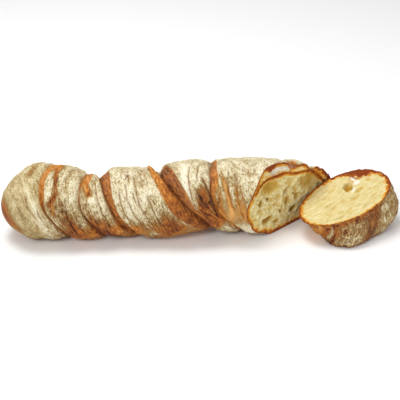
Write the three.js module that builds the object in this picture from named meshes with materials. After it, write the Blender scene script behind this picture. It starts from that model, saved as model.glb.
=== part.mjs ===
// A twisted baguette, cut through on a slant near its right-hand end. The loaf is one
// baked piece and the cut-off end is the other: it has been tipped over on the spot, so it
// lies with its cut face up and its rim against the loaf's cut face.
//
// Millimetres. X runs along the loaf, -Y is the front, +Z is up. The origin is in the
// middle of the underside of the two pieces together.
import * as THREE from "three";

// ---- driving dimensions -------------------------------------------------------------

const TIP_X = -197; // the loaf's uncut end
const DOME_LENGTH = 36; // how far in from the tip the end stays rounded
const GRAIN_TURN = 30; // degrees above the horizon, at the front, where a seam's turn counts from

// Place along the loaf, height of its middle above the table, radius over the bands, and
// how much broader than tall it is.
const STATIONS = [
  [-197, 33, 33.5, 1], [-180, 33.5, 34.5, 1], [-165, 35.2, 36.5, 1], [-150, 36, 37, 1],
  [-130, 34.2, 36, 1], [-110, 32.6, 35.4, 1], [-90, 32.6, 35, 1], [-70, 33.2, 34.4, 1],
  [-50, 32.4, 35, 1], [-35, 32.6, 36, 1], [-20, 36, 36.4, 1], [0, 39, 35.4, 1],
  [20, 38.6, 35.8, 1], [40, 37.4, 37.4, 1], [60, 36, 38, 1], [90, 34.4, 37.4, 1],
  [105, 32, 35, 1.06], [120, 29.6, 32.6, 1.16], [135, 28, 31, 1.28], [150, 27, 30, 1.32],
];

// The two edges of the twisted dough wind round the loaf as seams. Each is a list of
// turns and places along the loaf; whole turns are at the front and the turn grows
// downwards there, under the loaf and up its back.
const FIRST_SEAM = [
  [-1.5, -205], [-1, -188], [-0.5, -158], [-0.25, -144], [-0.1, -153], [0, -157], [0.05, -153],
  [0.1, -145], [0.2, -134], [0.5, -113], [0.76, -95], [0.92, -91.5], [1, -88.5], [1.05, -84],
  [1.15, -70], [1.21, -58], [1.5, -18], [1.72, 17], [1.8, 19], [1.93, 12], [2, 10], [2.06, 14.5],
  [2.12, 21], [2.22, 38], [2.5, 72], [2.75, 110], [3, 130], [3.5, 160],
];
const SECOND_SEAM = [
  [-1.5, -215], [-1, -178], [-0.75, -155], [-0.5, -130], [-0.25, -108], [-0.11, -114],
  [0, -120.5], [0.05, -118], [0.1, -112], [0.21, -99], [0.5, -70], [0.74, -46], [0.86, -38],
  [0.95, -27.5], [1, -20], [1.06, -14], [1.12, -4], [1.2, 7], [1.5, 42], [1.75, 85], [2, 112],
  [2.5, 170], [3, 200], [3.5, 230],
];
const SEAM_TURNS = [-1, 0, 1, 2, 3];
const BAND_SWELL = 1.6; // how far a band's middle stands out from where it meets the seams
const GROOVE_DEPTH = 3.6;
const GROOVE_WIDTH = 7; // half the width of the groove round a seam

const CUT_X = 88.9; // where the cut crosses the loaf's middle line
const CUT_SLOPE = 1.211; // millimetres along the loaf for each millimetre towards the back
const LOAF_SOFTNESS = 1.5; // half the height over which the underside eases into its flat
const END_SOFTNESS = 3;
const LOAF_COLOUR = 0xd2a468;
const END_COLOUR = 0xc98f50;

// The cut-off end, about the middle of its cut face, which it shows upwards. Its long way
// runs from its sharp edge, where the cut left the loaf on a slant, to its blunt one.
const END_PROFILE = [
  // share of the way down its side, drop, half length, half width, shift, squareness of
  // its front corner at the sharp half
  [0, 0, 54, 35, 0, 0],
  [0.1, 4, 49.6, 36, 3.2, 0.08],
  [0.25, 11, 46.2, 37, 6.2, 0.22],
  [0.42, 20, 45.2, 38, 7, 0.3],
  [0.58, 29, 44, 37.4, 6.8, 0.28],
  [0.74, 37, 38, 33, 6, 0.2],
  [0.88, 42.5, 28, 23, 5, 0.05],
  [1, 45, 0, 0, 4, 0],
];
const END_BLUNTNESS = 0.075; // how much wider the blunt half is than the sharp one
const OTHER_SQUARENESS = 0.3; // how square its other corners are beside its front sharp one
const END_TURN = new THREE.Euler(
  THREE.MathUtils.degToRad(-1.6), THREE.MathUtils.degToRad(-11.4), THREE.MathUtils.degToRad(33.7), "ZYX");
const END_PLACE = new THREE.Vector3(145, -2, 33.4);

// ---- grids --------------------------------------------------------------------------

const LOAF_ROWS = 84;
const END_ROWS = 16;
const COLUMNS = 48;
const TIP_CROWDING = 0.06; // how closely the rows crowd at a rounded end
const CUT_STEPS = 12; // enough steps for a line along the crust to land on the cut

// ---- shared helpers -----------------------------------------------------------------

/** The value at t of a smooth line through rows of [t, value, ...], read from one column. */
function along(rows, t, column = 1) {
  let i = 0;
  while (i < rows.length - 2 && t > rows[i + 1][0]) i += 1;
  const slope = (a, b) => (rows[b][column] - rows[a][column]) / (rows[b][0] - rows[a][0]);
  const before = slope(Math.max(i - 1, 0), i + 1);
  const after = slope(i, Math.min(i + 2, rows.length - 1));
  const span = rows[i + 1][0] - rows[i][0];
  const s = THREE.MathUtils.clamp((t - rows[i][0]) / span, 0, 1);
  const rise = s * s * (3 - 2 * s);
  return rows[i][column] * (1 - rise) + rows[i + 1][column] * rise
    + span * (before * s * (1 - s) * (1 - s) - after * s * s * (1 - s));
}

/** A height that flattens smoothly onto the table, which is at 0. */
function onTable(z, softness) {
  if (z >= softness) return z;
  if (z <= -softness) return 0;
  return (z + softness) ** 2 / (4 * softness);
}

/**
 * A closed mesh from rows of points: the first row is a single pole, every other row is a
 * closed ring, and the last ring is filled flat to its hub.
 */
function capped(pole, rings, hub) {
  const points = [pole, ...rings.flat(), hub];
  const count = rings[0].length;
  const at = (ring, column) => 1 + ring * count + (column % count);
  const faces = [];
  for (let c = 0; c < count; c += 1) {
    faces.push(0, at(0, c), at(0, c + 1));
    for (let r = 0; r + 1 < rings.length; r += 1) {
      faces.push(at(r, c), at(r + 1, c), at(r + 1, c + 1));
      faces.push(at(r, c), at(r + 1, c + 1), at(r, c + 1));
    }
    faces.push(at(rings.length - 1, c), points.length - 1, at(rings.length - 1, c + 1));
  }
  const geometry = new THREE.BufferGeometry().setFromPoints(points);
  geometry.setIndex(faces);
  geometry.computeVertexNormals();
  return geometry;
}

function crust(colour) {
  return new THREE.MeshStandardMaterial({ color: colour, roughness: 0.8, metalness: 0 });
}

// ---- the loaf -----------------------------------------------------------------------

/** Where the seams cross a line along the loaf at this angle, from the tip to the cut. */
function seamPlaces(angle) {
  const turn = (GRAIN_TURN - THREE.MathUtils.radToDeg(angle)) / 360;
  const part = turn - Math.round(turn);
  const first = SEAM_TURNS.map((n) => along(FIRST_SEAM, n + part));
  const second = SEAM_TURNS.map((n) => along(SECOND_SEAM, n + part));
  return [...first, ...second].sort((a, b) => a - b);
}

/** How far the crust stands off the plain loaf: bands swell between the seams' grooves. */
function relief(x, places) {
  const next = places.findIndex((place) => place > x);
  let height = 0;
  if (next > 0) {
    const share = (x - places[next - 1]) / (places[next] - places[next - 1]);
    height += BAND_SWELL * (4 * share * (1 - share) - 1);
  }
  for (const place of places) {
    height -= GROOVE_DEPTH * Math.exp(-(((x - place) / GROOVE_WIDTH) ** 2));
  }
  return height;
}

/** The crust at this place along the loaf and this angle up from the front. */
function loafPoint(x, angle) {
  const inward = THREE.MathUtils.clamp(1 - (x - TIP_X) / DOME_LENGTH, 0, 1);
  const dome = Math.sqrt(1 - inward * inward);
  const radius = (along(STATIONS, x, 2) + relief(x, seamPlaces(angle))) * dome;
  const z = along(STATIONS, x) + radius * Math.sin(angle);
  const y = -radius * along(STATIONS, x, 3) * Math.cos(angle);
  return new THREE.Vector3(x, y, onTable(z, LOAF_SOFTNESS));
}

/** Where the crust line at this angle meets the cut: found by stepping onto the cut. */
function cutPoint(angle) {
  let point = loafPoint(CUT_X, angle);
  for (let step = 0; step < CUT_STEPS; step += 1) {
    const x = CUT_X + CUT_SLOPE * point.y;
    point = loafPoint((x + point.x) / 2, angle);
  }
  return point.setX(CUT_X + CUT_SLOPE * point.y);
}

function loaf() {
  const angles = Array.from({ length: COLUMNS }, (_, c) => (2 * Math.PI * c) / COLUMNS);
  const ends = angles.map(cutPoint);
  const whole = Math.hypot(1, TIP_CROWDING) - TIP_CROWDING;
  const rings = [];
  for (let row = 1; row <= LOAF_ROWS; row += 1) {
    const share = (Math.hypot(row / LOAF_ROWS, TIP_CROWDING) - TIP_CROWDING) / whole;
    rings.push(angles.map((angle, c) => (row === LOAF_ROWS
      ? ends[c]
      : loafPoint(TIP_X + share * (ends[c].x - TIP_X), angle))));
  }
  const pole = new THREE.Vector3(TIP_X, 0, STATIONS[0][1]);
  const hub = new THREE.Vector3(CUT_X, 0, along(STATIONS, CUT_X));
  const mesh = new THREE.Mesh(capped(pole, rings, hub), crust(LOAF_COLOUR));
  mesh.name = "loaf";
  return mesh;
}

// ---- the cut-off end ----------------------------------------------------------------

/** A point of the end's crust, from its rim at share 0 down to its tip at share 1. */
function endPoint(share, angle) {
  const [drop, length, width, shift, squareness] = [1, 2, 3, 4, 5]
    .map((column) => along(END_PROFILE, share, column));
  const isFrontSharp = Math.cos(angle) < 0 && Math.sin(angle) < 0;
  const corner = 1 + squareness * (isFrontSharp ? 1 : OTHER_SQUARENESS) * Math.sin(2 * angle) ** 2;
  const egg = 1 + END_BLUNTNESS * Math.cos(angle);
  const point = new THREE.Vector3(
    length * corner * Math.cos(angle) + shift,
    width * corner * egg * Math.sin(angle),
    -drop,
  ).applyEuler(END_TURN).add(END_PLACE);
  return point.setZ(onTable(point.z, END_SOFTNESS));
}

function cutOffEnd() {
  const rings = [];
  for (let row = END_ROWS - 1; row >= 0; row -= 1) {
    rings.push(Array.from({ length: COLUMNS },
      (_, c) => endPoint(row / END_ROWS, -(2 * Math.PI * c) / COLUMNS)));
  }
  const mesh = new THREE.Mesh(capped(endPoint(1, 0), rings, END_PLACE.clone()), crust(END_COLOUR));
  mesh.name = "cut_off_end";
  return mesh;
}

// ---- together -----------------------------------------------------------------------

const baguette = new THREE.Group();
baguette.name = "baguette";
baguette.add(loaf(), cutOffEnd());
const box = new THREE.Box3().setFromObject(baguette);
const middle = box.getCenter(new THREE.Vector3());
baguette.position.set(-middle.x, -middle.y, -box.min.z);

export default baguette;
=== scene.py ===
"""A hand-twisted, floured baguette, cut through on a slant, with its cut-off end tipped over beside it.

The crust is a tube round the loaf's length. Two seams, the edges of the twisted strip of dough, wind
round it, and each has a torn strip, a crease, a ridge and a lip whose sizes are listed by its turns.
The crumb is the cut, with its holes pressed into it. Lengths are in millimetres until a mesh is made.
"""

import math

import bpy
import numpy as np
from mathutils import Euler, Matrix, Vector


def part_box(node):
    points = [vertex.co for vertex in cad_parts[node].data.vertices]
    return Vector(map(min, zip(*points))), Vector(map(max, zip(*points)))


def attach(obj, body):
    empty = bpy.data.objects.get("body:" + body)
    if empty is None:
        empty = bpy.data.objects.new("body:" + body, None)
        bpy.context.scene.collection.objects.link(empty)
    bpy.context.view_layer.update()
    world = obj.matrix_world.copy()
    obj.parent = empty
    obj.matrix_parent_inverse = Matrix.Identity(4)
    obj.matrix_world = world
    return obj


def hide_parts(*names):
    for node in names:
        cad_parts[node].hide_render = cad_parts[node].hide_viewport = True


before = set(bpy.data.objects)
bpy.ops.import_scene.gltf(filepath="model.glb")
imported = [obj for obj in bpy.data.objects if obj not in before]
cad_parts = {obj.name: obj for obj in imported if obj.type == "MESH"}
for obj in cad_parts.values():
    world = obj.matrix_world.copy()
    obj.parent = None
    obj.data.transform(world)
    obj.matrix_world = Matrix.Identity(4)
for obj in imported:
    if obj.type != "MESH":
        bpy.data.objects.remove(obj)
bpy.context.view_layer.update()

bl_info = {
    "name": "Twisted baguette",
    "version": (1, 0, 0),
    "blender": (4, 5, 0),
    "location": "View3D > Sidebar > Baguette",
    "description": "Builds a twisted, floured baguette and its cut-off end",
    "category": "Add Mesh",
}

METRES = 0.001

# ---- the loaf's plan ------------------------------------------------------------------------

TIP_X = -197.0
DOME_LENGTH = 36.0
GRAIN_TURN = 30.0  # degrees above the horizon, at the front, where a seam's turn counts from
GIRTH = 230.0  # round the loaf

# Place along the loaf, height of its middle, radius over the bands, how much broader than tall.
STATIONS = (
    (-197, 33, 33.5, 1), (-180, 33.5, 34.5, 1), (-165, 35.2, 36.5, 1), (-150, 36, 37, 1),
    (-130, 34.2, 36, 1), (-110, 32.6, 35.4, 1), (-90, 32.6, 35, 1), (-70, 33.2, 34.4, 1),
    (-50, 32.4, 35, 1), (-35, 32.6, 36, 1), (-20, 36, 36.4, 1), (0, 39, 35.4, 1),
    (20, 38.6, 35.8, 1), (40, 37.4, 37.4, 1), (60, 36, 38, 1), (90, 34.4, 37.4, 1),
    (105, 32, 35, 1.06), (120, 29.6, 32.6, 1.16), (135, 28, 31, 1.28), (150, 27, 30, 1.32),
)

# Turn and place along the loaf. Whole turns are at the front, and the turn grows downwards there.
FIRST_SEAM = (
    (-1.5, -205), (-1, -188), (-0.5, -155), (-0.25, -143), (-0.17, -147), (-0.1, -152), (0, -153),
    (0.05, -151), (0.1, -145), (0.14, -140), (0.2, -134), (0.5, -117), (0.75, -102), (0.81, -99),
    (0.86, -97.5), (0.92, -95.5), (0.97, -93), (1, -91), (1.06, -86.5), (1.11, -81.5), (1.17, -74),
    (1.21, -66), (1.5, -22), (1.72, 10), (1.8, 12), (1.87, 9), (1.93, 9.5), (2, 9), (2.06, 13),
    (2.12, 19), (2.22, 36), (2.5, 72), (2.75, 110), (3, 130), (3.5, 160),
)
SECOND_SEAM = (
    (-1.5, -215), (-1, -178), (-0.75, -155), (-0.5, -130), (-0.25, -111), (-0.15, -114), (-0.08, -117),
    (0, -118), (0.05, -115.5), (0.1, -110), (0.21, -98), (0.5, -70), (0.74, -46), (0.86, -38),
    (0.95, -28.5), (1, -22), (1.06, -14.5), (1.12, -4), (1.2, 7), (1.5, 42), (1.75, 85), (2, 112),
    (2.5, 170), (3, 200), (3.5, 230),
)
SEAM_TURNS = (-1, 0, 1, 2, 3)

# How each seam is torn, by its turns: reach of the tear to the left and to the right, its sag,
# the depth of its crease, the heights of the ridge on its left and the lip on its right, and
# how darkly it is baked on its left and on its right.
FIRST_TEAR = (
    (-1.5, -1, -1, 0, 0.1, 0, 0, 0.3, 0.3),
    (-0.7, -1, -1, 0, 0.2, 0, 0.2, 0.3, 0.4),
    (-0.4, 2, 5, 0.6, 0.3, 0, 0.2, 0.25, 0.25),
    (-0.25, 1, 11, 0, 0.1, 0, 0, 0.2, 0.16),
    (-0.19, 1.6, 8, 0.2, 0.3, 0, 0.2, 0.2, 0.2),
    (-0.13, 2.6, 3, 1, 1.2, 0.2, 0.5, 0.15, 0.15),
    (-0.06, 2.8, 2.8, 1.6, 1.8, 0.4, 0.8, 0.2, 0.22),
    (0, 2.2, 2.4, 1.8, 2, 0.4, 0.8, 0.3, 0.3),
    (0.05, 1, 2, 1.4, 1.8, 0.3, 0.5, 0.5, 0.4),
    (0.1, 1, 3, 1.2, 1.8, 0.3, 0.5, 0.4, 0.4),
    (0.2, 1, 6, 0.8, 1.2, 0.2, 0.3, 0.4, 0.55),
    (0.5, 2, 8, 1.8, 1.6, 0.3, 0.6, 0.5, 0.5),
    (0.68, 2, 13, 4.5, 1.5, 0.4, 0.6, 0.55, 0.5),
    (0.75, 1.5, 14, 5.5, 1.2, 0.4, 0.6, 0.6, 0.5),
    (0.81, 1, 10.5, 4.6, 1.4, 0.2, 1, 0.6, 0.52),
    (0.86, 1, 10, 4, 1.4, 0, 1.2, 0.6, 0.5),
    (0.92, 1, 9, 3.4, 1.6, 0, 1.8, 0.6, 0.48),
    (1, 1, 7.4, 2.8, 1.8, 0, 2, 0.6, 0.44),
    (1.06, 1, 7.6, 2.4, 1.8, 0, 1.8, 0.6, 0.48),
    (1.12, 1.6, 9.5, 2, 1.5, 0, 1.4, 0.56, 0.5),
    (1.2, 2, 11, 1.8, 1.2, 0, 1, 0.7, 0.55),
    (1.5, 3, 8, 2, 1.6, 0.3, 0.8, 0.5, 0.55),
    (1.72, 1, 6, 2, 1.4, 0.3, 0.6, 0.45, 0.45),
    (1.8, 0.6, 5.5, 1.6, 1.6, 0.4, 0.4, 0.4, 0.42),
    (1.87, 0.6, 7.4, 1.6, 2, 0.5, 0.4, 0.4, 0.4),
    (1.94, 0.6, 7.4, 1.6, 2.4, 0.6, 0.5, 0.4, 0.38),
    (2, 0.6, 4.6, 1.6, 2.6, 0.8, 0.6, 0.4, 0.34),
    (2.06, 0.6, 5, 1.4, 2.4, 0.6, 0.7, 0.4, 0.32),
    (2.12, 0.6, 8, 1.4, 1.8, 0.3, 0.6, 0.4, 0.26),
    (2.2, 1, 10, 1.2, 1.2, 0, 0.5, 0.4, 0.3),
    (2.5, 5, 6, 2, 1.6, 0.3, 0.8, 0.5, 0.5),
    (3.5, 4, 4, 1.5, 1.6, 0.3, 0.8, 0.5, 0.5),
)
SECOND_TEAR = (
    (-1.5, -1, -1, 0, 0.1, 0, 0, 0.3, 0.3),
    (-0.75, -1, -1, 0, 0.3, 0, 0.2, 0.4, 0.4),
    (-0.5, 2, 6, 2, 1.2, 0.2, 0.5, 0.5, 0.45),
    (-0.3, 1, 5, 1, 0.3, 0, 0, 0.3, 0.3),
    (-0.22, 1, 6, 0.8, 0.4, 0, 0, 0.3, 0.26),
    (-0.14, 0.8, 9, 1.8, 1.2, 0, 0.6, 0.3, 0.22),
    (-0.1, 0.6, 8, 1.8, 1.6, 0, 0.8, 0.3, 0.25),
    (-0.075, 0.5, 1.6, 1, 1.6, 0, 0.4, 0.4, 0.3),
    (-0.015, 0.6, 1.2, 0.6, 1.8, 0, 0.3, 0.5, 0.6),
    (0.05, 0.6, 1.4, 0.5, 1.8, 0.2, 0.3, 0.6, 0.6),
    (0.1, 1, 5, 0.8, 1.6, 0.3, 0.3, 0.65, 0.5),
    (0.15, 1, 14, 0.8, 1.4, 0.3, 0.3, 0.7, 0.5),
    (0.21, 2, 20, 0.8, 1.2, 0.3, 0.2, 0.75, 0.6),
    (0.5, 4, 7, 2, 1.6, 0.4, 0.6, 0.6, 0.5),
    (0.66, 6, 8, 4, 3.4, 2.4, 0.8, 0.3, 0.6),
    (0.75, 7, 9, 5, 4.6, 3.6, 1, 0.2, 0.66),
    (0.81, 9, 12, 4.4, 4.6, 3.4, 1, 0.35, 0.68),
    (0.86, 10.5, 12, 4, 5, 3.4, 0.8, 0.34, 0.66),
    (0.95, 12.5, 10.5, 3.6, 5, 3.2, 0.8, 0.42, 0.58),
    (1.03, 14, 9, 3, 4.4, 2.8, 0.8, 0.56, 0.42),
    (1.1, 13, 7, 2.2, 3, 2, 0.6, 0.64, 0.4),
    (1.2, 9, 6, 1.6, 1.8, 1, 0.4, 0.65, 0.65),
    (1.5, 5, 5, 1.5, 1.6, 0.4, 0.6, 0.6, 0.5),
    (1.75, 4, 6, 2, 3, 0.6, 1.2, 0.5, 0.5),
    (1.9, 3, 5, 2, 3.5, 0.4, 1.6, 0.5, 0.7),
    (3.5, 3, 5, 2, 3, 0.4, 1.6, 0.5, 0.5),
)
EAR_GAP = 2.6  # between a ridge and the crease on its right
CREASE_WIDTH = 1.5
GROOVE_DEPTH = 1.6
GROOVE_WIDTH = 7.0
BAND_SWELL = 1.6  # how far a band's middle stands over its edges
OPEN_BAND = 40.0  # width given to the crust before the first seam
PLAIN_BAKE = 0.34  # how darkly crust is baked, and how thickly floured, where nothing changes it
PLAIN_FLOUR = 0.66
BULB_EDGE = (-158, -146)  # where the smoother bulb at the tip passes into the first band
TIP_CROWDING = 0.06  # share of the length over which the rings crowd towards the tip
LOAF_RADIUS = 36.0  # the crust's noise is taken round a circle of this size
SEAM_SALT = 57.0  # keeps the strands of the two seams apart in the noise

# Places where the crust is baked or floured unlike the rest: place along the loaf, degrees above
# the horizon at the front, half length, half breadth, lean in degrees, change of flour and of bake.
PATCHES = (
    (-139.5, 66, 2.2, 17, -3, -1.0, 0.4),
    (-143.5, 31, 2.2, 8, -32, -1.0, 0.42),
    (-143, 14, 2.4, 7, 0, -0.5, -0.2),
    (-137.5, 101, 6.5, 10, 0, -0.9, -0.16),
    (-110.5, 58, 2.6, 9, 4, -1.0, -0.05),
    (-108.5, 45, 2.6, 3.6, 0, -1.0, 0.35),
    (-115.5, 60, 1.5, 14, 0, -0.3, -0.1),
    (-105.5, 33, 3.2, 3.2, 0, 0.3, -0.2),
    (-164, 84, 3.5, 11, -28, -0.34, 0.02),
    (-150, 92, 3, 9, -20, -0.3, -0.05),
    (-193, 12, 5, 28, 8, -0.9, 0.34),
    (-184, -16, 4.5, 12, 26, -0.7, 0.24),
    # The next two rows are a pale streak on the bulb: partly flour, partly a painted highlight.
    (-160, 22, 2.6, 16, 22, 0.4, -0.1),
    (-156, -6, 3, 12, 28, 0.3, -0.1),
    (-127, -6, 10, 16, 15, -0.55, 0.34),
    (-136, 20, 5, 9, 0, -0.25, 0.2),
    (-124, -32, 14, 9, 10, -0.5, 0.22),
    (-107, 6, 4, 12, 22, -0.5, 0.2),
    (-98, -10, 10, 11, 30, -0.6, 0.2),
    (-90, -27, 16, 8, 20, -0.7, 0.14),
    (-64, -22, 9, 9, 30, -0.45, 0.02),
    (-70, 30, 5, 24, 8, 0.2, -0.1),
    (-40, 14, 8, 12, 28, -0.22, 0.22),
    (-38, -14, 12, 9, 28, -0.55, 0.2),
    (-30, -31, 14, 6, 20, -0.4, 0.28),
    (-45, -33, 6, 5, 0, 0.6, -0.3),
    (-14, 50, 2.4, 26, 8, 0.4, -0.2),
    (-1, 62, 6, 14, 4, 0.1, 0),
    (2, 22, 5.5, 14, 6, -1.0, 0.36),
    (7, -6, 8, 15, 24, -0.9, 0.26),
    (13, -24, 8, 8, 30, -0.7, 0.26),
    (18, 26, 2.4, 20, 10, -0.5, -0.08),
    (26, 22, 2.6, 22, 10, -0.55, -0.08),
    (34, 26, 2.2, 18, 8, -0.4, -0.06),
    (30, -6, 9, 11, 30, -0.36, -0.34),
    (41, 6, 3, 20, 10, -0.55, -0.1),
    (32, 14, 11, 20, 10, -0.18, -0.14),
    (22, 48, 2, 16, 10, -0.4, -0.12),
    (-27, -12, 5, 12, 24, -0.6, 0.3),
    (48, -34, 9, 9, 20, 0.5, -0.3),
    (20, -37, 8, 5, 20, 0.3, -0.1),
    (-60, 190, 22, 16, 10, -0.45, 0.3),
    (70, 200, 24, 14, 10, -0.5, 0.3),
    (-150, 200, 16, 18, 0, -0.4, 0.28),
    (20, 165, 12, 12, -20, -0.35, 0.25),
    (-110, 150, 8, 14, -20, -0.3, 0.2),
)

# Dents in the crust: place along the loaf, degrees, half length, half breadth, lean, depth. A depth
# below 0 is a bump.
DENTS = (
    (-152, 108, 22, 24, 0, -2.2),
    (-105, 118, 12, 26, 0, 5.0),
    (-41, 120, 4.0, 16, -6, 8.0),
    (-109, 44, 4, 6, 0, 1.4),
    (-105.5, 33, 3.4, 3.4, 0, -2.0),
    (-106, 60, 5, 10, 10, 1.6),
    (-140, 62, 4, 14, -4, 1.2),
)
# Thin folds in the crust: degrees above the horizon and place along the loaf, from one end of the
# fold to the other. The first is deeper than the others, and nothing breaks it.
FOLDS = (
    ((-14, 16.4), (10, 11), (30, 8), (40, 5.4), (50, 2.8), (60, 0.4)),
    ((-4, -157), (8, -161), (22, -166), (40, -169)),
    ((-20, -146), (-6, -152), (8, -156), (20, -158)),
    ((-16, -46), (5, -53), (25, -60), (50, -63), (78, -65)),
    ((-24, -52), (-5, -60), (15, -67), (35, -71), (62, -73)),
    ((-20, -35), (0, -42), (20, -48), (42, -52)),
    ((-20, -61), (0, -70), (20, -76), (48, -79)),
    ((-14, -88), (10, -95), (30, -99), (45, -101), (66, -102)),
    ((-32, -98), (-14, -106), (2, -112)),
    ((-30, -88), (-12, -97), (2, -104)),
    ((-30, -112), (-10, -118), (12, -121)),
    ((-26, -121), (-6, -127), (16, -130), (34, -131)),
    ((-2, 34), (20, 28), (45, 26), (72, 27)),
    ((-10, 41), (15, 36), (40, 34), (62, 35)),
    ((56, 48), (68, 43), (74, 37), (88, 31), (100, 30)),
    ((20, -8), (40, -11), (60, -12), (85, -10)),
    ((50, -4), (70, -3), (92, 0)),
    ((60, -56), (84, -60), (104, -62)),
    ((150, -60), (170, -52), (195, -40)),
    ((160, 20), (185, 32), (205, 44)),
    ((140, -20), (165, -6), (190, 8)),
)
FIRST_FOLD_DEPTH = 1.5
FOLD_DEPTH = 0.9

# ---- the cut ----------------------------------------------------------------------------------

CUT_X = 88.9  # where it crosses the loaf's middle line
CUT_SLOPE = 1.211  # along the loaf for each millimetre towards the back
CUT_MIDDLE = 34.5  # height that the cut is measured about
CUT_BACK = 13.0  # how far it runs back under the front of the top
CUT_FORWARD = 7.0  # how far it stands forward in the lap
CUT_STEPS = 14  # rounds of looking for where each line along the loaf meets the cut
LOAF_SOFTNESS = 1.5  # half the height over which the underside eases into its flat
END_SOFTNESS = 3.0

# Holes in the loaf's crumb, about the middle of the cut: place along it and up, half sizes, tilt
# in degrees, depth, and how caramel-coloured its walls are, which is partly painted shade darkening them
# towards the hole's deepest point.
LOAF_HOLES = (
    (32, 6, 20, 10.5, -28, 6, 0.5),
    (25, 19.4, 9, 2, -30, 8, 1.7),
    (-22, 18, 16, 7.5, 0, 4, 0.6),
    (-36.5, 17.6, 3.2, 2.6, 0, 3, 0.6),
    (-39.5, 6.2, 3.6, 4.3, 20, 4.5, 0.8),
    (-30, 7.8, 3.3, 1.7, -24, 4.5, 1.9),
    (-5, 7, 2.7, 5, -30, 5.5, 0.85),
    (-1, -6, 3.4, 6, -25, 5, 0.8),
    (-25, -4, 3.6, 4.6, 0, 3, 0.4),
    (13, -5, 4.4, 5.2, 10, 4, 0.6),
    (-29, -16, 8.6, 4.2, 8, 5, 1.0),
    (8, -17, 5.6, 4, 10, 4.5, 1.0),
    (-10, -14, 2.6, 3, 0, 3, 0.7),
    (-16, -22.5, 5, 2.6, 0, 3, 0.7),
    (8, 0.4, 1.6, 2.4, 30, 3, 0.9),
    (-47, -11, 3, 4, 0, 2.4, 0.6),
    (-14, 6, 4, 5, -10, 2.4, 0.3),
    (3, 13, 3, 5, -20, 3, 0.4),
    (-50, 14, 3, 3, 0, 2, 0.4),
    (-38, -5, 3.4, 3.8, 0, 2.2, 0.35),
)
LOAF_CUT_REACH = (54, 34)  # how far from its middle small holes are scattered, along and up
POCKET = (-3.5, 30.2, 9.5, 3.1, 5)  # the floured pocket under the lap: place, half sizes, tilt
POCKET_DEPTH = 6.5
# The crust line inside the cut, where the lap was folded over: place along the cut and up.
FOLD_LINE = (
    (-47, 19), (-40, 24), (-30, 25.6), (-20, 26), (-10, 25.6), (-2, 25), (3, 26), (7, 23.4), (12, 23.6),
    (22, 21.6), (34, 15), (44, 9), (52, 0), (56, -5),
)
# Holes in the end's crumb, and after them a painted highlight: pale spots of crumb colour by the largest
# hole, standing in for its lit wall.
END_HOLES = (
    (14.5, 9.5, 8.6, 5.2, 46, 9, 0.75),
    (20, -2, 8, 2.2, 14, 3, 0.5),
    (6, -9, 7.5, 2.6, 8, 3, 0.4),
    (-8.5, -3, 6, 2, 6, 1.8, 0.3),
    (30, -11, 6, 2.2, -10, 2, 0.3),
    (-26, -8, 7, 2, 10, 1.6, 0.25),
    (-22, 8, 6, 2, 10, 1.4, 0.25),
    (22, -20, 6, 1.6, 5, 1.6, 0.35),
    (-12, -19, 7, 1.8, 0, 1.4, 0.3),
    (-2, 17, 7, 2, 5, 1.4, 0.3),
    (37, 3, 3, 4, 0, 2, 0.3),
)
# Painted highlight by the end's largest hole: place along the cut and up, half sizes, tilt.
END_PAINTED_HIGHLIGHTS = ((25, 8, 5, 4, 30), (15, 1.6, 6, 1.5, 22), (27, 15, 2, 5, 0))
END_CUT_REACH = (52, 34)
# By degrees round the cut from its far end: how thick the crust looks there and how dark.
LOAF_RIND = (
    (-180, 6, 0.2), (-150, 6, 0.5), (-125, 6.5, 0.9), (-100, 5.5, 0.9), (-60, 6, 0.9), (-20, 6, 0.8),
    (0, 8, 1), (20, 9, 0.9), (40, 6, 0.5), (70, 5, 0.7), (93, 6, 0.8), (98, 9, 1.8), (112, 8, 1.8),
    (117, 6, 0.2), (150, 6.5, 0.15), (180, 6, 0.2),
)
END_RIND = (
    (-180, 5, 0.7), (-165, 3, 0), (-150, 1.6, -0.6), (-120, 1.8, -0.6), (-90, 2.4, -0.4), (-60, 3, 0),
    (-30, 5, 0.9), (-6, 6.5, 1.3), (6, 7, 1.2), (13, 15, 1.9), (22, 20, 2.3), (32, 17, 1.8),
    (42, 9, 1.3), (60, 6, 1), (90, 5, 0.7), (120, 4.4, 0.4), (135, 5, 1), (150, 4, 0.3),
    (170, 6, 0.8), (180, 5, 0.7),
)

# ---- the cut-off end ----------------------------------------------------------------------------

# Share of the way down its side, drop, half length, half width, shift, squareness of its corner.
END_PROFILE = (
    (0, 0, 54, 35, 0, 0), (0.1, 4, 49.6, 36, 3.2, 0.08), (0.25, 11, 46.2, 37, 6.2, 0.22),
    (0.42, 20, 45.2, 38, 7, 0.3), (0.58, 29, 44, 37.4, 6.8, 0.28), (0.74, 37, 38, 33, 6, 0.2),
    (0.88, 42.5, 28, 23, 5, 0.05), (1, 45, 0, 0, 4, 0),
)
END_BLUNTNESS = 0.075  # share by which the end is broader towards the far end of its cut
OTHER_SQUARENESS = 0.3  # of the three corners that are rounder, as a share of the square one's
END_RADIUS = 42.0  # the end's noise is taken round a circle of this size
END_TURN = Euler((math.radians(-1.6), math.radians(-11.4), math.radians(33.7)), "XYZ")
END_PLACE = (145.0, -2.0, 33.4)
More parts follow.
